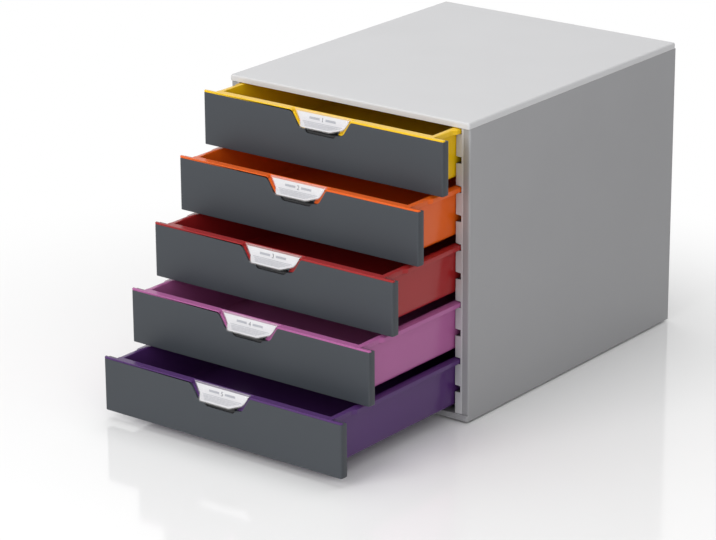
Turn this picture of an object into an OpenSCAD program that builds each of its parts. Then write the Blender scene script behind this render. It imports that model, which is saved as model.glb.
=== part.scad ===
// Desk drawer tower: a grey housing with five coloured trays that slide on moulded runners.
// The origin lies on the table under the middle of the housing. +Z is up and the drawers open to -Y.

/* [Housing] */
// Width over the side panels
body_w = 280; // [250:1:320]
// Depth from the front lip of the top cover to the back
body_d = 350; // [320:1:400]
// Height from the table to the top of the cover
body_h = 292; // [270:1:330]
// Wall of the housing's moulded panels
skin_t = 2.6; // [2:0.1:3.5]
// Radius of the housing's outer edges
edge_r = 2; // [1:0.25:2.5]
// Height of the top cover's turned-down lip
lip_h = 6; // [5:0.5:9]
// How far the cover and the base stand out in front of the side walls
lip_out = 2; // [1.5:0.1:3]
// Width of the plain strip on each side wall's front edge
strip_w = 7.5; // [6:0.5:9]
// Dark gap between that strip and the cover's lip
shadow_gap = 0.8; // [0.4:0.1:1.5]
// Height of the base's rim
base_h = 5.5; // [4.5:0.5:8]

/* [Feet] */
// How far the rubber feet lift the base off the table
foot_h = 2; // [1:0.5:4]
// Diameter of a foot
foot_d = 14; // [10:1:20]
// Depth of the seat moulded for a foot in the base
foot_seat = 1; // [0.5:0.25:1.5]
// Distance of a foot's axis from the side and from the front or back
foot_inset = 22; // [16:1:40]

/* [Runners] */
// Thickness of a runner panel
runner_t = 8.1; // [7.6:0.1:10]
// Depth of a groove in front of the stop
groove_d = 5.9; // [5.5:0.1:6.2]
// Extra depth of a groove behind the stop
stop_step = 1; // [0.6:0.1:1.2]
// Distance of the stop behind the runner's front edge
stop_inset = 12; // [8:1:20]
// Free height above and below a tray's rim in its groove
groove_gap = 0.5; // [0.3:0.1:0.6]
// How much a groove widens towards its mouth, above and below
groove_flare = 0.4; // [0.2:0.1:0.8]
// Wall left round the hollows behind a runner panel
runner_wall = 2; // [1.5:0.1:2.5]

/* [Trays] */
// Wall and floor of a tray
tray_t = 2; // [1.6:0.1:2.5]
// Free width between a tray and each runner panel
side_gap = 0.4; // [0.3:0.1:0.8]
// How much each side of a tray leans in from rim to floor
tray_draft = 1.5; // [0.5:0.1:3]
// Radius where a tray's sides meet its floor
tray_r = 4; // [3:0.5:8]
// Free depth behind a closed tray
tray_back_gap = 4.4; // [4:0.2:10]
// Height of the rim band round a tray
rim_h = 5; // [4:0.2:6]
// Thickness of the rim
rim_t = 1.8; // [1.4:0.1:2.2]
// Width of the rim's side flange, where it rides in the groove
flange_w = 5.6; // [5.2:0.1:5.8]
// Width of the side flange just behind the front
flange_front_w = 3.2; // [2:0.2:4]
// Length of that narrow stretch
flange_front_l = 23; // [15:1:40]
// Width of the rim behind the back wall
flange_back_w = 3; // [2.5:0.1:3.5]
// Free height between the top rim and the cover's lip
rim_gap = 0.6; // [0.5:0.1:1]
// Length of the lug that meets the runner's stop
lug_l = 8; // [6:1:12]
// Travel of a tray from closed to its stop
travel = 250; // [200:5:270]

/* [Fronts] */
// Depth of a drawer front from its face to its back edge
front_d = 8; // [7:0.5:10]
// Wall of a drawer front
front_t = 3; // [2.5:0.1:3.5]
// Radius of a front's upright edges
front_r = 3; // [2:0.25:4]
// Free height under a drawer front
front_gap = 2; // [1.5:0.1:3]
// How far a tray's floor lies above the lower edge of its front
floor_lift = 4; // [3:0.5:6]
// Free depth between a closed front and the side walls
close_gap = 0.4; // [0.3:0.1:1]

/* [Handle recess] */
// Width of the recess along the top edge
recess_w = 75; // [60:1:90]
// Width of the recess at its floor
recess_floor_w = 47; // [40:1:55]
// Depth of the recess below the top edge
recess_h = 23; // [20:0.5:26]
// Radius of the recess's top corners
recess_top_r = 5; // [2:0.5:8]
// Radius of the recess's floor corners
recess_floor_r = 7; // [4:0.5:8]
// Height of the finger slot under the label tongue
slot_h = 5; // [4.6:0.1:6]
// Width of the finger slot
slot_w = 40; // [34:1:40]
// Depth of the finger pocket behind the face
pocket_d = 14; // [12:1:20]
// Depth of the label tongue behind the face, at its top
tongue_top_y = 4.8; // [4:0.2:6]
// Depth of the label tongue behind the face, at its lower edge
tongue_low_y = 1.6; // [1.5:0.1:3]
// Thickness of the label tongue
tongue_t = 1.8; // [1.4:0.1:2.2]

/* [Labels] */
// Thickness of the clear label window
window_t = 1.4; // [1.2:0.1:1.5]
// Thickness of the label card
card_t = 0.5; // [0.3:0.1:0.6]
// Free border between the window and the tongue's edge
window_gap = 0.6; // [0.4:0.1:1]
// Border of the window round its card
window_border = 1.6; // [1:0.2:2.5]

/* [Drawers as shown] */
// How far drawer 1, the top one, is pulled out
pulled_1 = 33; // [0:1:200]
// How far drawer 2 is pulled out
pulled_2 = 70; // [0:1:200]
// How far drawer 3 is pulled out
pulled_3 = 108; // [0:1:200]
// How far drawer 4 is pulled out
pulled_4 = 143; // [0:1:200]
// How far drawer 5, the lowest one, is pulled out
pulled_5 = 184; // [0:1:200]

/* [Hidden] */
drawers = 5;
pulled = [pulled_1, pulled_2, pulled_3, pulled_4, pulled_5];
tray_colours = ["gold", "darkorange", "firebrick", "orchid", "rebeccapurple"];
$fn = 48;
// Reach past a face that a cut opens, so that no skin is left on it
past = 1;
// Steps of each rounded corner in a computed outline
arc_steps = 6;

// Housing planes
half_w = body_w / 2;
lip_y = -body_d / 2;
wall_y = lip_y + lip_out;
back_y = body_d / 2;
base_top = foot_h + base_h;
lip_z = body_h - lip_h;
plate_z = body_h - skin_t;
runner_out = half_w - strip_w;
runner_in = runner_out - runner_t;
back_inner_y = back_y - skin_t;
stop_y = wall_y + stop_inset;

// Drawer bays, counted from the top
pitch = (lip_z - base_top) / drawers;
tray_half = runner_in - side_gap;
front_h = pitch - front_gap - rim_t - rim_gap;
tray_h = front_h - floor_lift + rim_t;
closed_y = wall_y - close_gap - front_d;
tray_l = back_inner_y - tray_back_gap - closed_y;
// The lug meets the stop a hair after the end of the travel
lug_y = stop_y + travel + close_gap - closed_y;

// Slope of the recess's sides, and lean of the label tongue
recess_slope = atan2(recess_h, (recess_w - recess_floor_w) / 2);
tongue_low = -recess_h + slot_h;
tongue_lean = atan2(tongue_top_y - tongue_low_y, rim_t - tongue_low);
tongue_len = (rim_t - tongue_low) / cos(tongue_lean);

function node_name(i, piece) = str("drawer_", i, "_", piece);

// Height of drawer i's front edge at the top, and of groove k's middle, counted from the lowest
function front_top(i) = base_top + (drawers - i + 1) * pitch - rim_gap - rim_t;
function groove_z(k) = front_top(drawers) + rim_t - rim_h / 2 + (k - 1) * pitch / 2;

// Points of one corner of an outline, rounded to radius r between its neighbours a and b
function corner(a, p, b, r) =
    let (u = (a - p) / norm(a - p))
    let (v = (b - p) / norm(b - p))
    let (half = acos(u * v) / 2)
    let (centre = p + (u + v) / norm(u + v) * r / sin(half))
    let (from = p + u * r / tan(half) - centre)
    let (to = p + v * r / tan(half) - centre)
    let (turn = atan2(cross(from, to), from * to))
    let (start = atan2(from[1], from[0]))
    r == 0 ? [p] : [
        for (s = [0:arc_steps])
            let (angle = start + turn * s / arc_steps) centre + r * [cos(angle), sin(angle)]
    ];

function rounded(points, radii) =
    let (n = len(points))
    [for (i = [0:n - 1]) each corner(points[(i + n - 1) % n], points[i], points[(i + 1) % n], radii[i])];

// Half the recess's width at height z from the front's top edge, for an outline set in by t
function recess_half(z, t) = recess_w / 2 + z / tan(recess_slope) - t / sin(recess_slope);

// A front's top edge with its recess, moved up by t, and closed at a lower edge
function front_outline(half, low, t) = rounded(
    [
        [-half, low],
        [-half, t],
        [-recess_half(t, t), t],
        [-recess_half(t - recess_h, t), t - recess_h],
        [recess_half(t - recess_h, t), t - recess_h],
        [recess_half(t, t), t],
        [half, t],
        [half, low]
    ],
    [0, 0, recess_top_r + t, recess_floor_r - t, recess_floor_r - t, recess_top_r + t, 0, 0]
);

// The recess itself, set in by t, from height low to height high
function recess_outline(low, high, t, r) = rounded(
    [
        [-recess_half(high, t), high],
        [-recess_half(low, t), low],
        [recess_half(low, t), low],
        [recess_half(high, t), high]
    ],
    [0, r, r, 0]
);

// A tray's section: half its width at the top, half at the floor, and its height
function tray_outline(top, low, h, r) = rounded([[-top, h], [-low, 0], [low, 0], [top, h]], [0, r, r, 0]);

// A rectangle from corner a to corner b with its upper corners rounded
module arched(a, b, r) {
    translate(a) square([b[0] - a[0], b[1] - a[1] - r]);
    translate([a[0] + r, a[1]]) square([b[0] - a[0] - 2 * r, b[1] - a[1]]);
    for (x = [a[0] + r, b[0] - r]) translate([x, b[1] - r]) circle(r);
}

// Stands an outline drawn in X and Z upright and carries it back from y
module upright(y, depth) {
    translate([0, y + depth, 0]) rotate([90, 0, 0]) linear_extrude(depth) children();
}

// Carries an outline drawn in Y and Z sideways, centred on X
module across(width) {
    translate([-width / 2, 0, 0]) rotate([90, 0, 90]) linear_extrude(width) children();
}

module block(a, b) {
    translate(a) cube(b - a);
}

// ---- Housing ----

module top_cover() {
    inner = half_w - lip_out;
    color([0.85, 0.85, 0.86])
    difference() {
        intersection() {
            upright(lip_y, body_d) arched([-half_w, lip_z], [half_w, body_h], edge_r);
            across(body_w) arched([lip_y, lip_z], [back_y, body_h], edge_r);
            cover_plan();
        }
        block([-inner, wall_y, lip_z - past], [inner, back_y - lip_out, plate_z]);
    }
}

// The cover seen from above, with its upright corners rounded
module cover_plan() {
    corner_x = half_w - edge_r;
    corner_y = body_d / 2 - edge_r;
    translate([0, 0, lip_z])
    linear_extrude(lip_h) {
        square([body_w, 2 * corner_y], center = true);
        square([2 * corner_x, body_d], center = true);
        for (x = [-corner_x, corner_x], y = [-corner_y, corner_y]) translate([x, y]) circle(edge_r);
    }
}

// Plain skin of the right side wall with its front edge rounded
module side_skin() {
    translate([0, 0, foot_h])
    linear_extrude(lip_z - foot_h) {
        translate([half_w - skin_t, wall_y + edge_r]) square([skin_t, body_d - lip_out - edge_r]);
        translate([half_w - edge_r, wall_y + edge_r]) circle(edge_r);
    }
}

// Outer skin of the right side wall, with its front strip, rear return and the ribs behind the runners
module side_panel() {
    skin_x = half_w - skin_t;
    rib_front = wall_y + skin_t;
    return_y = back_inner_y - skin_t;
    color([0.62, 0.62, 0.64]) {
        difference() {
            side_skin();
            block([half_w - 2 * edge_r, wall_y - past, foot_h - past], [skin_x, rib_front + edge_r, base_top]);
        }
        block([runner_out, wall_y, base_top], [half_w - edge_r, rib_front, lip_z - shadow_gap]);
        block([runner_out, return_y, base_top], [skin_x, back_inner_y, lip_z]);
        for (k = [1:2:2 * drawers - 1])
            block(
                [runner_out, rib_front, groove_z(k) - rim_t / 2],
                [skin_x, return_y, groove_z(k) + rim_t / 2]
            );
    }
}

// Right runner panel: a hollow-backed moulding with a groove at every half pitch
module runner_panel() {
    front_wall_y = wall_y + skin_t;
    color([0.66, 0.66, 0.68])
    difference() {
        block([runner_in, wall_y, base_top], [runner_out, back_inner_y, plate_z]);
        for (k = [0:2 * drawers - 1]) translate([0, 0, groove_z(k)]) groove();
        for (k = [0:2 * drawers - 2])
            block(
                [runner_in + runner_wall, front_wall_y, groove_z(k) + groove_half(0) + runner_wall],
                [runner_out + past, back_inner_y - skin_t, groove_z(k + 1) - groove_half(0) - runner_wall]
            );
    }
}

// Half the height of a groove, widened by a flare
function groove_half(flare) = rim_h / 2 + groove_gap + flare;

module groove() {
    length = back_inner_y - skin_t - wall_y;
    mouth = groove_half(groove_flare);
    floor_half = groove_half(0);
    upright(wall_y - past, length + past)
    polygon([
        [runner_in - past, -mouth],
        [runner_in, -mouth],
        [runner_in + groove_d, -floor_half],
        [runner_in + groove_d, floor_half],
        [runner_in, mouth],
        [runner_in - past, mouth]
    ]);
    block(
        [runner_in + groove_d - past, stop_y, -floor_half],
        [runner_in + groove_d + stop_step, wall_y + length, floor_half]
    );
}

// Floor of the housing: a plate on a turned-down rim, with a seat for each foot
module base_panel() {
    inner_x = half_w - skin_t;
    color([0.62, 0.62, 0.64])
    difference() {
        union() {
            difference() {
                block([-inner_x, wall_y, foot_h], [inner_x, back_y, base_top]);
                block(
                    [-inner_x + skin_t, wall_y + skin_t - lip_out, foot_h - past],
                    [inner_x - skin_t, back_y - skin_t, base_top - skin_t]
                );
            }
            base_lip();
            at_feet() cylinder(d = foot_d + 2 * skin_t, h = base_h);
        }
        at_feet() translate([0, 0, -past]) cylinder(d = foot_d, h = foot_seat + past);
    }
}

// Front lip of the base, as wide as the housing, with rounded corners
module base_lip() {
    corner_x = half_w - lip_out;
    block([-corner_x, lip_y, foot_h], [corner_x, wall_y, base_top]);
    for (x = [-corner_x, corner_x])
        intersection() {
            translate([x, wall_y, foot_h]) cylinder(r = lip_out, h = base_h);
            block([-half_w, lip_y, foot_h], [half_w, wall_y, base_top]);
        }
}

module at_feet() {
    for (x = [-half_w + foot_inset, half_w - foot_inset], y = [lip_y + foot_inset, back_y - foot_inset])
        translate([x, y, foot_h]) children();
}

module back_panel() {
    inner_x = half_w - skin_t;
    color([0.62, 0.62, 0.64])
    block([-inner_x, back_inner_y, base_top], [inner_x, back_y, lip_z]);
}

module rubber_feet() {
    color([0.15, 0.15, 0.16])
    at_feet() translate([0, 0, -foot_h]) cylinder(d = foot_d, h = foot_h + foot_seat);
}

// ---- Drawers, each drawn with its face at y = 0 and its front's top edge at z = 0 ----

module in_bay(i) {
    translate([0, closed_y - pulled[i - 1], front_top(i)]) children();
}

module tray(i) {
    color(tray_colours[i - 1])
    in_bay(i)
    difference() {
        union() {
            tray_shell();
            tray_rim();
            front_rim();
            tongue();
            finger_pocket(tray_t);
        }
        finger_pocket(0);
        finger_slot();
    }
}

// The open box, whose sides lean in to the floor
module tray_shell() {
    low = rim_t - tray_h;
    floor_half = tray_half - tray_draft;
    length = tray_l - flange_back_w - front_t;
    difference() {
        translate([0, 0, low])
        upright(front_t, length)
        polygon(tray_outline(tray_half, floor_half, tray_h, tray_r));
        translate([0, 0, low + tray_t])
        upright(front_t + tray_t, length - 2 * tray_t)
        polygon(tray_outline(
            tray_half - tray_t + past * tray_draft / tray_h,
            floor_half - tray_t,
            tray_h - tray_t + past,
            tray_r - tray_t
        ));
        // The recess goes through the tray's front wall, down to its floor
        upright(0, front_t + tray_t) polygon(recess_outline(-recess_h, rim_t + past, 0, recess_floor_r));
    }
}

// Turned-down rim along both sides and the back
module tray_rim() {
    wall_back = tray_l - flange_back_w;
    across(2 * (tray_half + flange_w))
    polygon([
        [wall_back - tray_t / 2, 0],
        [tray_l - rim_t, 0],
        [tray_l - rim_t, rim_t - rim_h],
        [tray_l, rim_t - rim_h],
        [tray_l, rim_t],
        [wall_back - tray_t / 2, rim_t]
    ]);
    for (side = [0, 1]) mirror([side, 0, 0]) {
        rim_strip(flange_front_w, front_d, front_d + flange_front_l);
        rim_strip(flange_w, front_d + flange_front_l, tray_l);
        lug();
    }
}

// One stretch of side rim: a flat top and an outer lip
module rim_strip(w, from, to) {
    upright(from, to - from)
    polygon([
        [tray_half - tray_t / 2, rim_t],
        [tray_half + w, rim_t],
        [tray_half + w, rim_t - rim_h],
        [tray_half + w - rim_t, rim_t - rim_h],
        [tray_half + w - rim_t, 0],
        [tray_half - tray_t / 2, 0]
    ]);
}

// Lug on the rim, square in front and ramped behind, that meets the runner's stop
module lug() {
    outer = tray_half + flange_w;
    reach = stop_step + side_gap;
    translate([0, 0, rim_t - rim_h])
    linear_extrude(rim_h)
    polygon([
        [outer - rim_t / 2, lug_y],
        [outer + reach, lug_y],
        [outer + reach, lug_y + lug_l / 2],
        [outer, lug_y + lug_l],
        [outer - rim_t / 2, lug_y + lug_l]
    ]);
}

// The coloured line over the front: it caps the panel's top edge and lines the recess's sides
module front_rim() {
    difference() {
        intersection() {
            upright(0, front_d)
            difference() {
                polygon(front_outline(half_w, -front_h, rim_t));
                polygon(front_outline(half_w + past, -front_h - past, 0));
            }
            front_plan(-front_h, rim_t);
        }
        block([-slot_w / 2, -past, -recess_h - past], [slot_w / 2, front_d + past, tongue_low]);
    }
}

// A front seen from above, with its upright edges rounded
module front_plan(low, high) {
    translate([0, 0, low])
    linear_extrude(high - low) {
        translate([-half_w, front_r]) square([body_w, front_d - front_r]);
        translate([-half_w + front_r, 0]) square([body_w - 2 * front_r, front_d]);
        for (x = [-half_w + front_r, half_w - front_r]) translate([x, front_r]) circle(front_r);
    }
}

// The leaning plate that carries the label
module tongue() {
    intersection() {
        upright(0, front_d) polygon(recess_outline(tongue_low, rim_t, 0, 0));
        across(recess_w)
        polygon([
            [tongue_low_y, tongue_low],
            [tongue_top_y, rim_t],
            [tongue_top_y + tongue_t, rim_t],
            [tongue_low_y + tongue_t, tongue_low]
        ]);
    }
}

// Space for the fingertips behind the tongue, or with t its shell
module finger_pocket(t) {
    roof_y = tongue_top_y + tongue_t;
    across(slot_w + 2 * t)
    polygon([
        [tongue_low_y + tongue_t, -recess_h - t],
        [pocket_d + t, -recess_h - t],
        [pocket_d + t, tongue_low + t],
        [roof_y, -rim_h + t],
        [roof_y - tongue_t / 2, -rim_h + t],
        [tongue_low_y + tongue_t, tongue_low]
    ]);
}

// The slot under the tongue that lets the fingertips in
module finger_slot() {
    block([-slot_w / 2, -past, -recess_h], [slot_w / 2, pocket_d, tongue_low]);
}

// Drawer front: a shallow pan whose face carries the recess
module front(i) {
    low = -front_h;
    color([0.33, 0.35, 0.37])
    in_bay(i)
    intersection() {
        union() {
            upright(0, front_t) polygon(front_outline(half_w, low, 0));
            difference() {
                block([-half_w, front_t - past, low], [half_w, front_d, 0]);
                block([-half_w + front_t, 0, low + front_t], [half_w - front_t, front_d + past, -front_t]);
                block([-tray_half - side_gap, 0, low + front_t], [tray_half + side_gap, front_d + past, past]);
            }
        }
        front_plan(low, 0);
    }
}

// Lays children on the tongue's face, with Z running up the slope and Y into the tongue
module on_tongue() {
    translate([0, tongue_low_y, tongue_low]) rotate([-tongue_lean, 0, 0]) children();
}

// Outline of the window or, set in further, of its card, in the tongue's own plane
function label_outline(inset) = rounded(
    [
        [-recess_half(rim_t, inset), tongue_len - (inset - rim_t)],
        [-recess_half(tongue_low, inset), 0],
        [recess_half(tongue_low, inset), 0],
        [recess_half(rim_t, inset), tongue_len - (inset - rim_t)]
    ],
    [0, recess_top_r, recess_top_r, 0]
);

module label_window(i) {
    outer = rim_t + window_gap;
    color([0.9, 0.95, 0.95, 0.4])
    in_bay(i)
    on_tongue()
    difference() {
        upright(-window_t, window_t) polygon(label_outline(outer));
        card_space(outer, 0);
    }
}

// Room for the card behind the window, or with a gap the card itself
module card_space(outer, gap) {
    inset = window_border + gap;
    thickness = card_t - gap;
    translate([0, 0, inset])
    upright(-thickness, thickness + (gap == 0 ? past : 0))
    polygon(label_outline(outer + inset));
}

module label_card(i) {
    color("white")
    in_bay(i) on_tongue() card_space(rim_t + window_gap, 0.05);
}

top_cover();
mirror([1, 0, 0]) side_panel();  // left_side_panel
side_panel();  // right_side_panel
mirror([1, 0, 0]) runner_panel();  // left_runner_panel
runner_panel();  // right_runner_panel
base_panel();
back_panel();
rubber_feet();
for (i = [1:drawers]) {
    tray(i);
    front(i);
    label_window(i);
    label_card(i);
}
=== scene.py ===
# Desk drawer tower: a grey housing, five coloured trays with anthracite fronts, and their labels.
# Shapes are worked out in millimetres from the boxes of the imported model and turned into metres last.
import math
import bmesh
import bpy
import numpy as np
from mathutils import Matrix, Vector


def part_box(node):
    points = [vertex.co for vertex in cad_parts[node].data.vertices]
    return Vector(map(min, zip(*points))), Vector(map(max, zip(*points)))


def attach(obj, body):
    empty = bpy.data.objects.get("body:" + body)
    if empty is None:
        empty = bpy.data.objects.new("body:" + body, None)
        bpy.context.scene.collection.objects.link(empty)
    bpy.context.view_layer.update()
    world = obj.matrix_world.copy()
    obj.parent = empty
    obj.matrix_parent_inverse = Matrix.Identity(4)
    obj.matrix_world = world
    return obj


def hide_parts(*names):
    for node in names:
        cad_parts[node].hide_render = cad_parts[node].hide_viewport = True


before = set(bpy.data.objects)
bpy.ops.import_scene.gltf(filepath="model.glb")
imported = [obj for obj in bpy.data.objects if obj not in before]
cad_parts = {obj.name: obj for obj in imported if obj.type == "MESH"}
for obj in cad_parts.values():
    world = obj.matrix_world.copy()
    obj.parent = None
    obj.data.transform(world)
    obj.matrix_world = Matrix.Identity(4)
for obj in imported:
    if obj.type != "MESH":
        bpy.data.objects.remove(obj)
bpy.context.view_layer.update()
mm = 0.001
drawerNumbers = range(1, 6)
mergeDistance = 2e-6  # metres, between doubles
tiny = 0.1  # mm, tells points on a limit from those past it
print("frame loaded:", len(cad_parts), "nodes")


# The same vectors at length one, and zero where there is none
def unit(v):
    return v / np.maximum(np.linalg.norm(v, axis=-1, keepdims=True), 1e-12)


# A closed outline that runs anticlockwise, with every corner rounded to its own radius. On an arc the
# inward direction turns evenly from one side's normal to the next one's, and
# point = corner + mitre * radius - inward * radius, with the radius negative in a hollow corner.
# Two support points, a little way along both sides, keep the shading of the flat stretches flat.
class Outline:
    def __init__(self, corners, radii, steps=6, support=0.3):
        corner = np.asarray(corners, float)
        side = unit(np.roll(corner, -1, 0) - corner)
        normal = np.stack([-side[:, 1], side[:, 0]], -1)
        sideBefore, normalBefore = np.roll(side, 1, 0), np.roll(normal, 1, 0)
        turn = np.arctan2(
            sideBefore[:, 0] * side[:, 1] - sideBefore[:, 1] * side[:, 0],
            (sideBefore * side).sum(1),
        )
        mitre = (normalBefore + normal) / (1 + (normalBefore * normal).sum(1))[:, None]
        radius = np.broadcast_to(np.asarray(radii, float), len(corner)) * np.sign(turn)
        angle = (
            np.arctan2(normalBefore[:, 1], normalBefore[:, 0])[:, None]
            + np.linspace(0, 1, steps + 1) * turn[:, None]
        )
        arc = np.stack([np.cos(angle), np.sin(angle)], -1)
        point = corner[:, None] + radius[:, None, None] * (mitre[:, None] - arc)
        before = point[:, :1] - support * sideBefore[:, None]
        after = point[:, -1:] + support * side[:, None]
        self.perCorner = steps + 3
        self.points = np.concatenate([before, point, after], 1).reshape(-1, 2)
        self.inward = np.concatenate([arc[:, :1], arc, arc[:, -1:]], 1).reshape(-1, 2)
        self.mitre = np.repeat(mitre, self.perCorner, 0)
        self.limit = np.repeat(np.where(turn > 0, radius, np.inf), self.perCorner)

    # The outline moved inwards by d: along the normals until an arc has shrunk to its corner, and
    # along the mitre from there. d has one number for each ring, or one for each ring and point.
    def inset(self, d):
        d = np.asarray(d, float)
        d = np.broadcast_to(d[:, None], (len(d), len(self.points))) if d.ndim == 1 else d
        along = np.minimum(d, self.limit)
        return self.points + along[..., None] * self.inward + (d - along)[..., None] * self.mitre


# An open line with its inner corners rounded, from the first point to the last
def roundedLine(points, radii, steps=5, support=0.25):
    closed = Outline(points, [0] + list(radii) + [0], steps, support)
    groups = closed.points.reshape(len(points), closed.perCorner, 2)[1:-1]
    return np.concatenate([[points[0]], groups.reshape(-1, 2), [points[-1]]])


# Corners of a rectangle, anticlockwise from its lowest
def rectangle(low, high):
    return [(low[0], low[1]), (high[0], low[1]), (high[0], high[1]), (low[0], high[1])]


# Rings of points joined by quads, with the first and the last ring filled: one closed shell
def shell(rings):
    index = np.arange(rings.shape[0] * rings.shape[1]).reshape(rings.shape[:2])
    low, high = index[:-1], index[1:]
    quads = np.stack([low, np.roll(low, -1, 1), np.roll(high, -1, 1), high], -1).reshape(-1, 4)
    faces = quads.tolist() + [index[0][::-1].tolist(), index[-1].tolist()]
    return rings.reshape(-1, 3), faces


# An outline carried along a profile of (inset, height) pairs: ring = outline moved in, at that height
def carried(outline, profile):
    profile = np.asarray(profile, float)
    flat = outline.inset(profile[:, 0])
    height = np.broadcast_to(profile[:, 1, None, None], flat.shape[:2] + (1,))
    return np.concatenate([flat, height], -1)


# Profile of a plate between two heights, with its two rims rounded
def plateProfile(low, high, rim):
    deep = rim + 0.5  # just past the rounding
    return roundedLine([(deep, low), (0, low), (0, high), (deep, high)], [rim, rim])


# One object from several shells: doubles merged, faces turned outwards, and smooth but for sharp edges
def makePiece(name, shells, material, sharpAngle=40):
    verts = np.concatenate([v for v, _ in shells])
    starts = np.cumsum([0] + [len(v) for v, _ in shells[:-1]])
    faces = [[int(i + start) for i in face] for (_, part), start in zip(shells, starts) for face in part]
    mesh = bpy.data.meshes.new(name)
    mesh.from_pydata((verts * mm).tolist(), [], faces)
    solid = bmesh.new()
    solid.from_mesh(mesh)
    bmesh.ops.remove_doubles(solid, verts=solid.verts, dist=mergeDistance)
    bmesh.ops.dissolve_degenerate(solid, edges=solid.edges, dist=mergeDistance / 2)
    bmesh.ops.recalc_face_normals(solid, faces=solid.faces)
    solid.to_mesh(mesh)
    solid.free()
    mesh.shade_smooth()
    mesh.set_sharp_from_angle(angle=math.radians(sharpAngle))
    mesh.materials.append(material)
    piece = bpy.data.objects.new(name, mesh)
    bpy.context.scene.collection.objects.link(piece)
    return piece


# Body and replaced CAD node of a piece
def dress(piece, body, node):
    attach(piece, body)
    if node:
        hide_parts(node)


bevelShape = {"segments": 2, "sharpFrom": 35, "flatBelow": 0.5}


# A copy of a CAD node with its hard edges rounded
def softened(name, node, material, edge):
    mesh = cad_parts[node].data.copy()
    solid = bmesh.new()
    solid.from_mesh(mesh)
    bmesh.ops.remove_doubles(solid, verts=solid.verts, dist=mergeDistance)
    flat = math.radians(bevelShape["flatBelow"])
    bmesh.ops.dissolve_limit(solid, angle_limit=flat, verts=solid.verts, edges=solid.edges)
    solid.to_mesh(mesh)
    solid.free()
    mesh.materials.clear()
    mesh.materials.append(material)
    mesh.shade_smooth()
    piece = bpy.data.objects.new(name, mesh)
    bpy.context.scene.collection.objects.link(piece)
    bevel = piece.modifiers.new("edges", "BEVEL")
    bevel.width = edge * mm
    bevel.segments = bevelShape["segments"]
    bevel.limit_method = "ANGLE"
    bevel.angle_limit = math.radians(bevelShape["sharpFrom"])
    bevel.harden_normals = True
    return piece


# Lowest and highest corner of a CAD node in millimetres
def boxOf(node):
    return np.array(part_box(node)) / mm


mould = {"cloudScale": 14, "cloudDetail": 3, "glossSpread": 0.12, "pitDetail": 2, "bump": 0.6}


# Satin or glossy moulded plastic: a colour that drifts a little, a roughness that varies with it, and a
# fine grain as bump. Grain size and depth are in millimetres.
def plastic(name, colour, roughness, drift=0.04, grain=0.5, depth=0.01, sheen=0.5):
    material = bpy.data.materials.new(name)
    material.use_nodes = True
    nodes, links = material.node_tree.nodes, material.node_tree.links
    shader = nodes["Principled BSDF"]
    place = nodes.new("ShaderNodeTexCoord")
    cloud = nodes.new("ShaderNodeTexNoise")
    cloud.inputs["Scale"].default_value = mould["cloudScale"]
    cloud.inputs["Detail"].default_value = mould["cloudDetail"]
    links.new(place.outputs["Object"], cloud.inputs["Vector"])
    tint = nodes.new("ShaderNodeMix")
    tint.data_type = "RGBA"
    tint.inputs["A"].default_value = [c * (1 - drift) for c in colour] + [1]
    tint.inputs["B"].default_value = [min(c * (1 + drift), 1) for c in colour] + [1]
    links.new(cloud.outputs["Fac"], tint.inputs["Factor"])
    links.new(tint.outputs["Result"], shader.inputs["Base Color"])
    gloss = nodes.new("ShaderNodeMapRange")
    gloss.inputs["To Min"].default_value = roughness * (1 - mould["glossSpread"])
    gloss.inputs["To Max"].default_value = roughness * (1 + mould["glossSpread"])
    links.new(cloud.outputs["Fac"], gloss.inputs["Value"])
    links.new(gloss.outputs["Result"], shader.inputs["Roughness"])
    pitting = nodes.new("ShaderNodeTexNoise")
    pitting.inputs["Scale"].default_value = 1 / (grain * mm)
    pitting.inputs["Detail"].default_value = mould["pitDetail"]
    links.new(place.outputs["Object"], pitting.inputs["Vector"])
    bump = nodes.new("ShaderNodeBump")
    bump.inputs["Distance"].default_value = depth * mm
    bump.inputs["Strength"].default_value = mould["bump"]
    links.new(pitting.outputs["Fac"], bump.inputs["Height"])
    links.new(bump.outputs["Normal"], shader.inputs["Normal"])
    shader.inputs["Specular IOR Level"].default_value = sheen
    return material


# Colour and roughness of each finish. The side grey is the cover's grey darkened as painted shade, and
# the groove colour is a near-black painted shade for grooves and pockets
finishes = {
    "cover": ((0.6, 0.6, 0.61), 0.42),
    "side": ((0.31, 0.31, 0.32), 0.46),
    "runner": ((0.5, 0.5, 0.51), 0.5),
    "groove": ((0.03, 0.03, 0.032), 0.6),
    "front": ((0.039, 0.045, 0.053), 0.42),
    "foot": ((0.02, 0.02, 0.022), 0.8),
    "paper": ((0.64, 0.635, 0.66), 0.75),
    "ink": ((0.05, 0.06, 0.08), 0.6),
    "greyInk": ((0.33, 0.34, 0.38), 0.6),
}
trayColours = {
    "yellow": (0.81, 0.5, 0.008),
    "orange": (0.7, 0.108, 0.008),
    "red": (0.32, 0.017, 0.018),
    "pink": (0.385, 0.108, 0.285),
    "purple": (0.075, 0.026, 0.13),
}
trayGloss = {"roughness": 0.2, "drift": 0.03, "depth": 0.002, "sheen": 0.25}
windowFinish = {"Base Color": (0.93, 0.92, 0.9, 1), "Roughness": 0.06, "Alpha": 0.14}


# Clear plastic as a thin veil, so that the card's print stays sharp behind it
def clearPlastic():
    material = bpy.data.materials.new("clearPlastic")
    material.use_nodes = True
    shader = material.node_tree.nodes["Principled BSDF"]
    for socket, value in windowFinish.items():
        shader.inputs[socket].default_value = value
    return material


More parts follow.
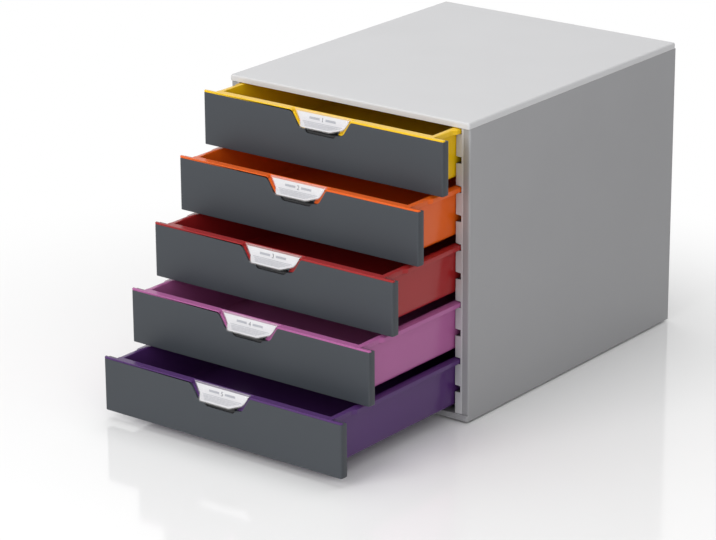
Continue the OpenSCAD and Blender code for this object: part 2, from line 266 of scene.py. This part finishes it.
coverPlastic = plastic("coverPlastic", *finishes["cover"], grain=0.4, depth=0.006, sheen=0.2)
# Sides, base and back: the cover's grey made darker, as painted shade for faces that get less light
shadedSidePlastic = plastic("shadedSidePlastic", *finishes["side"], grain=0.4, depth=0.006)
runnerPlastic = plastic("runnerPlastic", *finishes["runner"])
# Near-black painted shade for the insides of grooves and pockets
paintedShade = plastic("paintedShade", *finishes["groove"])
frontPlastic = plastic("frontPlastic", *finishes["front"], grain=0.35, depth=0.008, sheen=0.38)
footRubber = plastic("footRubber", *finishes["foot"], grain=0.3, depth=0.02)
trayPlastics = {
    name: plastic(f"trayPlastic{i}", colour, **trayGloss)
    for i, (name, colour) in enumerate(trayColours.items(), 1)
}
windowPlastic = clearPlastic()
paper = plastic("cardPaper", *finishes["paper"], drift=0.02, grain=0.25)
ink = plastic("ink", *finishes["ink"], drift=0.1)
greyInk = plastic("greyInk", *finishes["greyInk"], drift=0.1)
print("materials made")


coverShape = {
    "edge": 2.0,
    "cornerRadius": 2.2,
    "wall": 2.6,
    "lip": 2.0,
    "lipEdge": 0.35,
    "innerEdge": 0.5,
    "margin": 2,
}


# Cover: its plan carried from the underside of the plate, round the lip and up over the rounded edge
def cover():
    low, high = boxOf("top_cover")
    shape = coverShape
    under = high[2] - shape["wall"]
    outline = Outline(rectangle(low[:2], high[:2]), shape["cornerRadius"])
    profile = roundedLine(
        [
            (shape["lip"] + shape["margin"], under),
            (shape["lip"], under),
            (shape["lip"], low[2]),
            (0, low[2]),
            (0, high[2]),
            (shape["edge"] + shape["margin"], high[2]),
        ],
        [shape["innerEdge"], shape["lipEdge"], shape["lipEdge"], shape["edge"]],
        steps=8,
    )
    piece = makePiece("cover", [shell(carried(outline, profile))], coverPlastic)
    dress(piece, "cabinet", "top_cover")


# Centres of a piece's faces in millimetres
def faceCentres(piece):
    centres = np.empty(len(piece.data.polygons) * 3)
    piece.data.polygons.foreach_get("center", centres)
    return centres.reshape(-1, 3) / mm


# Faces inside a groove or a pocket get painted shade: a near-black colour that stands in for the shadow
# in there
def shade(piece, inside):
    piece.data.materials.append(paintedShade)
    piece.data.polygons.foreach_set("material_index", inside.astype(np.int32))


housingShape = {"edge": 0.35, "grooveStart": 0.15, "grooveEnd": 7.9, "forward": -0.5}


# The groove faces lie between two depths behind the panel's inner side and don't look forward; they get
# the painted shade
def shadeGrooves(panel, node):
    low, high = boxOf(node)
    inner = min(abs(low[0]), abs(high[0]))
    normals = np.empty(len(panel.data.polygons) * 3)
    panel.data.polygons.foreach_get("normal", normals)
    depth = np.abs(faceCentres(panel)[:, 0]) - inner
    within = (depth > housingShape["grooveStart"]) & (depth < housingShape["grooveEnd"])
    shade(panel, within & (normals[1::3] > housingShape["forward"]))


cover()
for side in ("left", "right"):
    panel = softened(f"side_{side}", f"{side}_side_panel", shadedSidePlastic, housingShape["edge"])
    dress(panel, "cabinet", f"{side}_side_panel")
    panel = softened(f"runners_{side}", f"{side}_runner_panel", runnerPlastic, housingShape["edge"])
    # Faces deep in the grooves are painted in shade
    shadeGrooves(panel, f"{side}_runner_panel")
    dress(panel, "cabinet", f"{side}_runner_panel")
for name in ("base", "back"):
    panel = softened(name, f"{name}_panel", shadedSidePlastic, housingShape["edge"])
    dress(panel, "cabinet", f"{name}_panel")
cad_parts["rubber_feet"].data.materials.clear()
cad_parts["rubber_feet"].data.materials.append(footRubber)
print("housing made")


# Every drawer has the same shape. It is drawn with its face at y 0 and the top edge of its front at
# z 0, and placeOf gives the point that this origin moves to.
recess = {"width": 70, "floorWidth": 51, "height": 15, "topRadius": 5, "floorRadius": 7}
pocket = {
    "half": 18,
    "low": -18.5,
    "roof": -10,
    "depth": 14,
    "wall": 1.6,
    "radius": 4,
    "backRadius": 1.0,
    "roofRadius": 0.3,
    "mouth": 0.4,
    "overlap": 0.4,
    "lean": 0.3,
    "shadeFrom": 1,
    "shadeMargin": 0.2,
}
frontShape = {
    "wall": 3,
    "depth": 8,
    "corner": 0.8,
    "side": 2,
    "edge": 0.5,
    "backEdge": 0.4,
    "returnFrom": 124.4,
    "lowReturn": 1.5,
    "blend": 6,
    "panMargin": 0.5,
    "faceMargin": 0.4,
    "support": 0.3,
}
trayShape = {
    "wall": 2,
    "draft": 1.5,
    "frontRadius": 3,
    "cornerRadius": 6,
    "floorRadius": 4,
    "floorMargin": 1,
    "sideGap": 0.4,
    "rim": 1.8,
    "rimHeight": 5,
    "flange": 5.6,
    "frontFlange": 3.2,
    "backFlange": 3,
    "narrowLength": 23,
    "widening": 5,
    "edge": 0.45,
    "bevel": 0.35,
    "bevelFall": 0.03,
    "flat": 1,
    "flatFall": 0.02,
    "slope": 0.12,
    "drop": 0.4,
    "hiddenFlange": 0.6,
    "hiddenLip": 1.2,
    "wallSupport": (0.8, 0.5),
    "spanMargin": 8,
    "spanPoints": 61,
    "stepHalf": 0.05,
}


# Directions in a profile, as (inset, height)
inwards, outwards, up, down = (1, 0), (-1, 0), (0, 1), (0, -1)


# Rows of (inset, height) pairs, each one number or one for each point of the outline, as two tables
def profileRows(rows, count):
    insets = np.array([np.broadcast_to(np.asarray(inset, float), count) for inset, _ in rows])
    heights = np.array([np.broadcast_to(np.asarray(height, float), count) for _, height in rows])
    return insets, heights


# Rows of a quarter circle that rounds the corner (inset, height) of a profile. Start and end are the
# directions from the corner to the circle's two ends, and with a turn t from 0 to a right angle
# row = corner + radius * (start * (1 - sin t) + end * (1 - cos t)).
def arcRows(inset, height, radius, start, end, steps=4):
    turn = np.linspace(0, math.pi / 2, steps + 1)
    return [
        (
            inset + radius * (start[0] * (1 - math.sin(t)) + end[0] * (1 - math.cos(t))),
            height + radius * (start[1] * (1 - math.sin(t)) + end[1] * (1 - math.cos(t))),
        )
        for t in turn
    ]


# Middle of a front's top edge, in the plane of its face
def placeOf(i):
    low, high = boxOf(f"drawer_{i}_front")
    return np.array([0, low[1], high[2]])


# The same shell with the offset added to every point
def moved(part, offset):
    return part[0] + offset, part[1]


frontLow, frontHigh = boxOf("drawer_1_front") - placeOf(1)
trayLow, trayHigh = boxOf("drawer_1_tray") - placeOf(1)
halfWidth, frontDepth, frontLowZ = frontHigh[0], frontShape["depth"], frontLow[2]
rimTop = trayShape["rim"]
recessRun = (recess["width"] - recess["floorWidth"]) / 2
recessSlope = math.atan2(recess["height"], recessRun)


# Half the width of the recess at height z: half its upper width + z * run / height, less
# t / sin(slope) for a line that is set in by t
def recessHalf(z, t=0.0):
    return recess["width"] / 2 + z * recessRun / recess["height"] - t / math.sin(recessSlope)


# Rounded upright edges: where y is less than the side radius, points near the sides move inwards by
# side - sqrt(side^2 - (side - y)^2), and by less and less over the blend's width
def roundedSides(x, y):
    side = frontShape["side"]
    pull = side - np.sqrt(side**2 - (side - np.clip(y, 0, side)) ** 2)
    near = np.clip((np.abs(x) - halfWidth + frontShape["blend"]) / frontShape["blend"], 0, 1)
    return x - np.sign(x) * pull * near


# Front: its outline with the recess, carried from the inside of the pan, over the back edge of the
# side and lower walls, and forward round the face. Those walls have depth, and the top edge has none.
def frontPan():
    shape = frontShape
    low = recess["height"]
    outline = Outline(
        [
            (-halfWidth, frontLowZ),
            (halfWidth, frontLowZ),
            (halfWidth, 0),
            (shape["returnFrom"], 0),
            (recessHalf(0), 0),
            (recessHalf(-low), -low),
            (pocket["half"], -low),
            (pocket["half"], pocket["low"]),
            (-pocket["half"], pocket["low"]),
            (-pocket["half"], -low),
            (-recessHalf(-low), -low),
            (-recessHalf(0), 0),
            (-shape["returnFrom"], 0),
            (-halfWidth, 0),
        ],
        [shape["corner"]] * 3
        + [0, recess["topRadius"], recess["floorRadius"]]
        + [pocket["mouth"], pocket["radius"], pocket["radius"], pocket["mouth"]]
        + [recess["floorRadius"], recess["topRadius"], 0, shape["corner"]],
    )
    x, z = outline.points.T
    hasWall = (z < frontLowZ + shape["lowReturn"]) | (np.abs(x) > shape["returnFrom"] - tiny)
    wall, edge = shape["wall"], shape["edge"]
    depth = np.where(hasWall, frontDepth, wall)
    backEdge = np.where(hasWall, shape["backEdge"], 0)
    insets, depths = profileRows(
        [
            (wall + shape["panMargin"], wall),
            (wall, wall),
            *arcRows(wall, depth, backEdge, down, outwards),
            *arcRows(0, depth, shape["backEdge"], inwards, down),
            (0, shape["side"] + shape["support"]),
            *arcRows(0, 0, edge, up, inwards),
            (edge + shape["faceMargin"], 0),
        ],
        len(x),
    )
    flat = outline.inset(insets)
    return shell(np.stack([roundedSides(flat[..., 0], depths), depths, flat[..., 1]], -1))


# Finger pocket behind the face: a cup whose mouth leans back with the tongue above it
def fingerPocket():
    half, low, roof = pocket["half"], pocket["low"], pocket["roof"]
    radii = [pocket["radius"]] * 2 + [pocket["roofRadius"]] * 2
    outline = Outline(rectangle((-half, low), (half, roof)), radii)
    z = outline.points[:, 1]
    leaning = np.maximum(z - low - pocket["radius"], 0) * pocket["lean"]
    mouth = frontShape["wall"] - pocket["overlap"] + leaning
    back, wall = pocket["depth"], pocket["wall"]
    insets, depths = profileRows(
        [
            (pocket["radius"], back),
            *arcRows(0, back, pocket["backRadius"], inwards, down),
            (0, mouth),
            (-wall, mouth),
            (-wall, back + wall),
            (pocket["radius"], back + wall),
        ],
        len(z),
    )
    flat = outline.inset(insets)
    return shell(np.stack([flat[..., 0], depths, flat[..., 1]], -1))


# Faces of a front that lie inside its pocket, from points in the drawer's own frame; they get the
# painted shade
def inPocket(points):
    x, y, z = points.T
    margin = pocket["shadeMargin"]
    across = np.abs(x) < pocket["half"] + margin
    return across & (y > pocket["shadeFrom"]) & (z > pocket["low"] - margin) & (z < pocket["roof"])


frontShells = [frontPan(), fingerPocket()]
for i in drawerNumbers:
    piece = makePiece(f"front_{i}", [moved(part, placeOf(i)) for part in frontShells], frontPlastic)
    # The inside of the finger pocket is painted in shade
    shade(piece, inPocket(faceCentres(piece) - placeOf(i)))
    dress(piece, f"drawer_{i}", f"drawer_{i}_front")
print("fronts made")


# Height of the recess's line over x, moved up by t into the recess, with its corners rounded
def recessLine(x, t):
    low = recess["height"]
    points = [
        (0, t - low),
        (recessHalf(t - low, t), t - low),
        (recessHalf(t, t), t),
        (2 * halfWidth, t),
    ]
    line = roundedLine(points, [recess["floorRadius"] - t, recess["topRadius"] + t])
    return np.interp(np.abs(x), line[:, 0], line[:, 1])


# Tub: the plan of the tray carried along one profile for each point of the plan, from the underside
# of the floor, up the outer wall, round the turned-down rim, and down inside to the floor. The rim's
# width goes by the place along the wall, and behind the front the wall's top follows the recess.
def tub():
    shape = trayShape
    half = halfOfTray
    front, back = frontShape["wall"], trayHigh[1] - shape["backFlange"]
    low, wall, rim, lip = trayLow[2], shape["wall"], shape["rim"], shape["rimHeight"]
    notch = pocket["half"] + pocket["wall"]
    reach, step = recessHalf(0) + shape["spanMargin"], shape["stepHalf"]
    span = np.linspace(-reach, reach, shape["spanPoints"])
    span = np.sort(np.append(span, [-notch - step, -notch + step, notch - step, notch + step]))
    stops = np.cumsum([frontDepth, shape["narrowLength"], shape["widening"]])
    corners = (
        [(-half, front)]
        + [(x, front) for x in span]
        + [(half, front)]
        + [(half, y) for y in stops]
        + [(half, back), (-half, back)]
        + [(-half, y) for y in stops[::-1]]
    )
    frontRadius, straight = [shape["frontRadius"]], [0] * len(stops)
    outline = Outline(
        corners,
        frontRadius + [0] * len(span) + frontRadius + straight + [shape["cornerRadius"]] * 2 + straight,
    )
    x, y = outline.points.T
    flange = np.interp(y, stops[1:], (shape["frontFlange"], shape["flange"]))
    rearShare = np.clip((y - back + shape["cornerRadius"]) / shape["cornerRadius"], 0, 1)
    flange = flange + (shape["backFlange"] - flange) * rearShare
    hidden = y < frontDepth - tiny
    flange = np.where(hidden, shape["hiddenFlange"], flange)
    behindRecess = np.where(np.abs(x) < notch, pocket["low"] - pocket["wall"], recessLine(x, 0))
    top = np.where(hidden, rim / 2 + np.where(y < front + tiny, behindRecess, 0), rim)
    lipLow = np.where(hidden, np.minimum(top - shape["hiddenLip"], rim - lip), rim - lip)
    under = np.where(hidden, lipLow, 0)
    lipWall = np.where(hidden, shape["hiddenFlange"], rim)
    edge = shape["edge"]
    slope = np.where(hidden, 0, shape["slope"] * (1 - rearShare))
    flatTop = np.minimum(shape["flat"], flange / 2)
    bevel = np.minimum(shape["bevel"], flange / 4)
    outerTop = top - (flange - flatTop) * slope
    innerTop = under - np.where(hidden, 0, shape["drop"] + (flange - rim - flatTop) * slope)
    floorEdge = shape["floorRadius"]
    draft = shape["draft"]
    insets, heights = profileRows(
        [
            (draft + floorEdge + shape["floorMargin"], low),
            *arcRows(draft, low, floorEdge, inwards, up),
            *((0, under - support) for support in shape["wallSupport"]),
            (lipWall - flange, innerTop),
            (lipWall - flange, lipLow),
            *arcRows(-flange, lipLow, edge, inwards, up),
            (-flange, outerTop - bevel),
            (-flange + bevel / 4, outerTop - bevel / 3),
            (-flange + bevel, outerTop + bevel * slope - shape["bevelFall"]),
            (-flatTop - tiny, top - tiny * slope - shape["flatFall"]),
            (-flatTop + tiny, top),
            *arcRows(wall, top, edge, outwards, down),
            *arcRows(wall + draft, low + wall, floorEdge - wall / 2, up, inwards),
            (wall + draft + floorEdge + shape["floorMargin"], low + wall),
        ],
        len(x),
    )
    flat = outline.inset(insets)
    return shell(np.concatenate([flat, heights[..., None]], -1))


halfOfTray = boxOf("right_runner_panel")[0][0] - trayShape["sideGap"]
tubShell = tub()


lineShape = {
    "round": 0.4,
    "recessRound": 3.4,
    "cheekRound": 0.2,
    "pocketRound": 0.3,
    "edge": 0.35,
    "setBack": 0.05,
    "capOverlap": 0.1,
    "liningOverlap": 0.4,
}


# One half of the line over the front. Over the face it is a cap as wide as the front. Behind the face it
# is a band that runs from the side rim along the top edge and down the recess's cheek to the pocket.
def frontLine(side):
    low, rim, wall = recess["height"], trayShape["rim"], frontShape["wall"]
    end = pocket["half"] + pocket["wall"]
    band = halfOfTray + trayShape["frontFlange"]
    shape = lineShape
    ends = [shape["round"]] * 2
    cap = Outline(
        [(halfWidth, 0), (halfWidth, rim), (recessHalf(rim, rim), rim), (recessHalf(0, rim), 0)],
        ends + [shape["recessRound"], shape["cheekRound"]],
    )
    lining = Outline(
        [
            (band, 0),
            (band, rim),
            (recessHalf(rim, rim), rim),
            (recessHalf(rim - low, rim), rim - low),
            (end, rim - low),
            (end, -low),
            (recessHalf(-low), -low),
            (recessHalf(0), 0),
        ],
        ends
        + [recess["topRadius"] + rim, recess["floorRadius"] - rim]
        + [shape["pocketRound"]] * 2
        + [recess["floorRadius"], recess["topRadius"]],
    )
    parts = []
    for outline, near, far in (
        (cap, shape["setBack"], wall + shape["capOverlap"]),
        (lining, wall - shape["liningOverlap"], frontDepth),
    ):
        rings = carried(outline, plateProfile(near, far, shape["edge"]))[..., [0, 2, 1]]
        rings[..., 0] = roundedSides(rings[..., 0], rings[..., 1]) * side
        parts.append(shell(rings))
    return parts


# The label's sheet follows a line in Y and Z: down the tongue's face, round a bend, and out to the lip
sheet = {
    "topY": 6,
    "lowY": 3.4,
    "bend": -10,
    "radius": 3.5,
    "reach": -8,
    "fall": 1.6,
    "tip": 18,
    "tipRadius": 5,
}
tongueShape = {
    "thickness": 1.8,
    "edge": 0.4,
    "floorSlack": 0.5,
    "topRound": 0.4,
    "footRound": 0.2,
    "roofRound": 0.3,
}
tongueRun = (sheet["topY"] - sheet["lowY"]) / (rimTop + recess["height"])


# Depth of the tongue's face at height z: lowest depth + height over the recess's floor * run
def tongueY(z):
    return sheet["lowY"] + (z + recess["height"]) * tongueRun


sheetLine = roundedLine(
    [
        (sheet["topY"], rimTop),
        (tongueY(sheet["bend"]), sheet["bend"]),
        (sheet["reach"], sheet["bend"] - sheet["fall"]),
    ],
    [sheet["radius"]],
    steps=12,
    support=0.4,
)
sheetWay = np.append(0, np.cumsum(np.linalg.norm(np.diff(sheetLine, axis=0), axis=1)))
sheetTurn = unit(np.gradient(sheetLine, sheetWay, axis=0))
sheetLength = sheetWay[-1]


# Points drawn on the sheet as (across, way from its top, towards the viewer), in the drawer's frame:
# point = line(way) + towards * normal(way), with the normal at a right angle to the line's direction
def onSheet(points):
    across, way, towards = points[..., 0], points[..., 1], points[..., 2]
    y, z = (np.interp(way, sheetWay, sheetLine[:, k]) for k in (0, 1))
    turnY, turnZ = (np.interp(way, sheetWay, sheetTurn[:, k]) for k in (0, 1))
    return np.stack([across, y + turnZ * towards, z - turnY * towards], -1)


# Half the sheet's width at each way, with the border left free: it follows the recess's cheeks down to
# the bend, and tapers from there to the lip's rounded tip
def sheetHalf(way, border):
    inset = rimTop + labelShape["gap"] + border
    y, z = (np.interp(way, sheetWay, sheetLine[:, k]) for k in (0, 1))
    bendHalf = recessHalf(sheet["bend"], inset)
    bendY = tongueY(sheet["bend"]) - labelShape["thickness"]
    tipY = sheet["reach"] + border
    tip = roundedLine(
        [(bendHalf, bendY), (sheet["tip"] - border, tipY), (0, tipY)],
        [sheet["tipRadius"] - border],
        steps=10,
    )
    tapered = np.interp(y, tip[::-1, 1], tip[::-1, 0])
    return np.where(y < bendY, np.minimum(recessHalf(z, inset), tapered), recessHalf(z, inset))


plateShape = {"ringPoints": 32, "easeShare": 0.3, "lipFrom": 2.6, "lipReach": 2.4, "lipPoints": 9}


# A bent plate between two ways and two distances from the tongue: at each way a ring of points round a
# section with rounded edges, ring = corner + edge * (cos turn, sin turn), which is smaller at both ends
def bentPlate(ways, half, low, high, edge):
    middle, thick = (low + high) / 2, (high - low) / 2
    count = plateShape["ringPoints"]
    turn = np.linspace(0, 2 * math.pi, count, endpoint=False) + math.pi / count
    circle = np.stack([np.cos(turn), np.sin(turn)], -1)
    corner = np.sign(circle)
    ring = corner * (-edge, thick - edge) + circle * edge
    ease = np.zeros(len(ways))
    ease[[0, -1]] = edge
    ease[[1, -2]] = edge * plateShape["easeShare"]
    across = corner[:, 0] * (half - ease)[:, None] + ring[:, 0]
    towards = middle + ring[:, 1] * (1 - ease / thick)[:, None]
    way = np.broadcast_to(np.asarray(ways)[:, None], across.shape)
    return shell(onSheet(np.stack([across, way, towards], -1)))


# Ways along the sheet, close together where it bends and at both ends
def waysBetween(start, end, edge):
    inner = sheetWay[(sheetWay > start + 2 * edge) & (sheetWay < end - plateShape["lipFrom"])]
    turn = np.linspace(0, math.pi / 2, plateShape["lipPoints"])
    last = end - plateShape["lipReach"] * (1 - np.sin(turn))
    final = [end - edge * plateShape["easeShare"], end]
    return np.concatenate([[start, start + edge], inner, last[:-1], final])


# The leaning plate between the recess's cheeks that carries the label, cut out round the pocket
def tongue():
    low, roof = -recess["height"], pocket["roof"] + pocket["wall"]
    side = pocket["half"] + pocket["wall"]
    shape, floorRound = tongueShape, recess["floorRadius"] - tongueShape["floorSlack"]
    outline = Outline(
        [
            (recessHalf(low), low),
            (recessHalf(rimTop), rimTop),
            (-recessHalf(rimTop), rimTop),
            (-recessHalf(low), low),
            (-side, low),
            (-side, roof),
            (side, roof),
            (side, low),
        ],
        [floorRound, shape["topRound"], shape["topRound"], floorRound]
        + [shape["footRound"], shape["roofRound"], shape["roofRound"], shape["footRound"]],
    )
    rings = carried(outline, plateProfile(0, shape["thickness"], shape["edge"]))
    x, z, into = rings[..., 0], rings[..., 1], rings[..., 2]
    return shell(np.stack([x, tongueY(z) + into, z], -1))


trayShells = [tubShell, *frontLine(1), *frontLine(-1), tongue()]
for i, (colourName, material) in zip(drawerNumbers, trayPlastics.items()):
    shells = [moved(part, placeOf(i)) for part in trayShells]
    piece = makePiece(f"tray_{i}", shells, material)
    dress(piece, f"drawer_{i}", f"drawer_{i}_tray")
print("trays made")


# The clear sleeve fills the room between the tongue and its thickness, and the card lies in it
labelShape = {
    "gap": 0.6,
    "thickness": 2,
    "wall": 0.7,
    "card": 0.5,
    "cardGap": 0.02,
    "cardEdge": 0.05,
    "border": 0.8,
    "topBorder": 2.2,
    "edge": 0.35,
    "back": 0.03,
    "top": 0.1,
    "tip": 0.05,
}
printShape = {
    "size": 6,
    "numberWay": 8.4,
    "numberMiddle": 0.35,
    "sideRule": 12,
    "sideRulePlace": 9.35,
    "sideRuleHeight": 2.2,
    "lift": 0.03,
    "resolution": 6,
}
rules = {"first": 10.4, "step": 1.8, "count": 6, "half": 23, "taper": 1.7, "height": 0.8}
printFace = labelShape["wall"] + labelShape["card"]


def labelSleeve():
    shape = labelShape
    ways = waysBetween(shape["top"], sheetLength - shape["tip"], shape["edge"])
    return bentPlate(ways, sheetHalf(ways, 0), shape["back"], shape["thickness"], shape["edge"])


def labelCard():
    shape = labelShape
    ways = waysBetween(shape["topBorder"], sheetLength - shape["border"], shape["cardEdge"])
    half = sheetHalf(ways, shape["border"])
    return bentPlate(ways, half, shape["wall"], printFace - shape["cardGap"], shape["cardEdge"])


# A thin rule printed across the card from one place to another
def printedRule(left, right, way, height):
    low, high = printFace, printFace + printShape["lift"]
    corners = [(left, way), (right, way), (right, way + height), (left, way + height)]
    rings = np.array([[(x, w, t) for x, w in corners] for t in (low, high)])
    return shell(onSheet(rings))


# Rules on both sides of the number, and finer ones under it that grow shorter towards the lip
def printedRules():
    half, tall = printShape["sideRule"] / 2, printShape["sideRuleHeight"]
    way = printShape["numberWay"] - printShape["size"] * printShape["numberMiddle"] - tall / 2
    middles = (-printShape["sideRulePlace"], printShape["sideRulePlace"])
    parts = [printedRule(middle - half, middle + half, way, tall) for middle in middles]
    for k in range(rules["count"]):
        reach = rules["half"] - rules["taper"] * k
        parts.append(printedRule(-reach, reach, rules["first"] + k * rules["step"], rules["height"]))
    return parts


# A plain number, made a mesh and laid on the card
def printedNumber(i):
    curve = bpy.data.curves.new(f"number{i}", "FONT")
    curve.body = str(i)
    curve.size = printShape["size"]
    curve.align_x = "CENTER"
    curve.extrude = printShape["lift"]
    curve.resolution_u = printShape["resolution"]
    holder = bpy.data.objects.new(f"number{i}", curve)
    bpy.context.scene.collection.objects.link(holder)
    mesh = bpy.data.meshes.new_from_object(holder.evaluated_get(bpy.context.evaluated_depsgraph_get()))
    points = np.empty(len(mesh.vertices) * 3)
    mesh.vertices.foreach_get("co", points)
    points = points.reshape(-1, 3)
    faces = [list(polygon.vertices) for polygon in mesh.polygons]
    bpy.data.objects.remove(holder)
    bpy.data.curves.remove(curve)
    bpy.data.meshes.remove(mesh)
    across, upwards, out = points.T
    return onSheet(np.stack([across, printShape["numberWay"] - upwards, printFace + out], -1)), faces


windowShell, cardShell, lineShells = labelSleeve(), labelCard(), printedRules()
for i in drawerNumbers:
    place = placeOf(i)
    body = f"drawer_{i}"
    window = makePiece(f"label_sleeve_{i}", [moved(windowShell, place)], windowPlastic)
    dress(window, body, f"drawer_{i}_label_window")
    card = makePiece(f"label_card_{i}", [moved(cardShell, place)], paper)
    dress(card, body, f"drawer_{i}_label_card")
    lines = makePiece(f"label_lines_{i}", [moved(part, place) for part in lineShells], greyInk)
    dress(lines, body, None)
    number = makePiece(f"label_number_{i}", [moved(printedNumber(i), place)], ink)
    dress(number, body, None)
print("labels made")


studio = {
    "floorSize": 14,
    "floorColour": (0.93, 0.93, 0.93, 1),
    "floorRoughness": 0.09,
    "fadeCentre": (0.03, -0.2, 0),
    "fadeStart": 0.34,
    "fadeEnd": 0.7,
    "ambient": 0.46,
    "aim": (0, 0, 0.15),
}
softboxes = {
    "key": {"power": 20, "size": 2.4, "place": (-0.3, 0.1, 2.2)},
    "fill": {"power": 46, "size": 1.8, "place": (-0.4, -2.8, 1.5)},
    "side": {"power": 15, "size": 1.8, "place": (1.7, -1.9, 0.9)},
}


# A square lamp that looks at the tower
def softbox(name, power, size, place):
    light = bpy.data.lights.new(name, "AREA")
    light.energy = power
    light.size = size
    lamp = bpy.data.objects.new(name, light)
    bpy.context.scene.collection.objects.link(lamp)
    lamp.location = place
    lamp.rotation_euler = (Vector(studio["aim"]) - Vector(place)).to_track_quat("-Z", "Y").to_euler()


# Floor: glossy near the object, and for the camera it turns white further away,
# with white share = smoothstep of the distance from the fade's centre
def floor():
    half = studio["floorSize"] / 2
    mesh = bpy.data.meshes.new("floor")
    corners = [(x, y, 0) for x, y in rectangle((-half, -half), (half, half))]
    mesh.from_pydata(corners, [], [(0, 1, 2, 3)])
    material = bpy.data.materials.new("floor")
    material.use_nodes = True
    shader = material.node_tree.nodes["Principled BSDF"]
    shader.inputs["Base Color"].default_value = studio["floorColour"]
    shader.inputs["Roughness"].default_value = studio["floorRoughness"]
    nodes, links = material.node_tree.nodes, material.node_tree.links
    place = nodes.new("ShaderNodeTexCoord")
    away = nodes.new("ShaderNodeVectorMath")
    away.operation = "DISTANCE"
    away.inputs[1].default_value = studio["fadeCentre"]
    links.new(place.outputs["Object"], away.inputs[0])
    fade = nodes.new("ShaderNodeMapRange")
    fade.interpolation_type = "SMOOTHSTEP"
    fade.inputs["From Min"].default_value = studio["fadeStart"]
    fade.inputs["From Max"].default_value = studio["fadeEnd"]
    links.new(away.outputs["Value"], fade.inputs["Value"])
    rays = nodes.new("ShaderNodeLightPath")
    seen = nodes.new("ShaderNodeMath")
    seen.operation = "MULTIPLY"
    links.new(rays.outputs["Is Camera Ray"], seen.inputs[0])
    links.new(fade.outputs["Result"], seen.inputs[1])
    white = nodes.new("ShaderNodeEmission")
    blend = nodes.new("ShaderNodeMixShader")
    links.new(seen.outputs[0], blend.inputs["Fac"])
    links.new(shader.outputs["BSDF"], blend.inputs[1])
    links.new(white.outputs["Emission"], blend.inputs[2])
    links.new(blend.outputs["Shader"], nodes["Material Output"].inputs["Surface"])
    mesh.materials.append(material)
    ground = bpy.data.objects.new("floor", mesh)
    bpy.context.scene.collection.objects.link(ground)


# World: white for the camera and for mirrors, a plain grey dome for the light that it gives
def sky():
    world = bpy.data.worlds.new("studio")
    bpy.context.scene.world = world
    world.use_nodes = True
    nodes, links = world.node_tree.nodes, world.node_tree.links
    back = nodes["Background"]
    back.inputs["Color"].default_value = (1, 1, 1, 1)
    rays = nodes.new("ShaderNodeLightPath")
    seen = nodes.new("ShaderNodeMath")
    seen.operation = "MAXIMUM"
    links.new(rays.outputs["Is Camera Ray"], seen.inputs[0])
    links.new(rays.outputs["Is Glossy Ray"], seen.inputs[1])
    through = nodes.new("ShaderNodeMath")
    through.operation = "MAXIMUM"
    links.new(seen.outputs[0], through.inputs[0])
    links.new(rays.outputs["Is Transmission Ray"], through.inputs[1])
    strength = nodes.new("ShaderNodeMapRange")
    strength.inputs["To Min"].default_value = studio["ambient"]
    strength.inputs["To Max"].default_value = 1
    links.new(through.outputs[0], strength.inputs["Value"])
    links.new(strength.outputs["Result"], back.inputs["Strength"])


floor()
sky()
for name, lamp in softboxes.items():
    softbox(name, **lamp)

# The camera looks at a point over the table from an azimuth to the right of the front
cameraShape = {
    "azimuth": 37.64,
    "elevation": 19.26,
    "roll": -0.35,
    "distance": 3.1255,
    "lens": 154.3,
    "sensor": 36,
    "clipEnd": 50,
    "lookAt": (-0.1223, 0, 0.0488),
}


def camera():
    azimuth, elevation = (math.radians(cameraShape[key]) for key in ("azimuth", "elevation"))
    level = math.cos(elevation)
    back = Vector((math.sin(azimuth) * level, -math.cos(azimuth) * level, math.sin(elevation)))
    data = bpy.data.cameras.new("camera")
    data.lens = cameraShape["lens"]
    data.sensor_width = cameraShape["sensor"]
    data.clip_end = cameraShape["clipEnd"]
    eye = bpy.data.objects.new("camera", data)
    bpy.context.scene.collection.objects.link(eye)
    eye.location = Vector(cameraShape["lookAt"]) + back * cameraShape["distance"]
    roll = Matrix.Rotation(math.radians(cameraShape["roll"]), 3, "Z")
    eye.rotation_euler = ((-back).to_track_quat("-Z", "Y").to_matrix() @ roll).to_euler()
    bpy.context.scene.camera = eye


camera()
bpy.context.scene.view_settings.view_transform = "Standard"
print("light and camera placed")
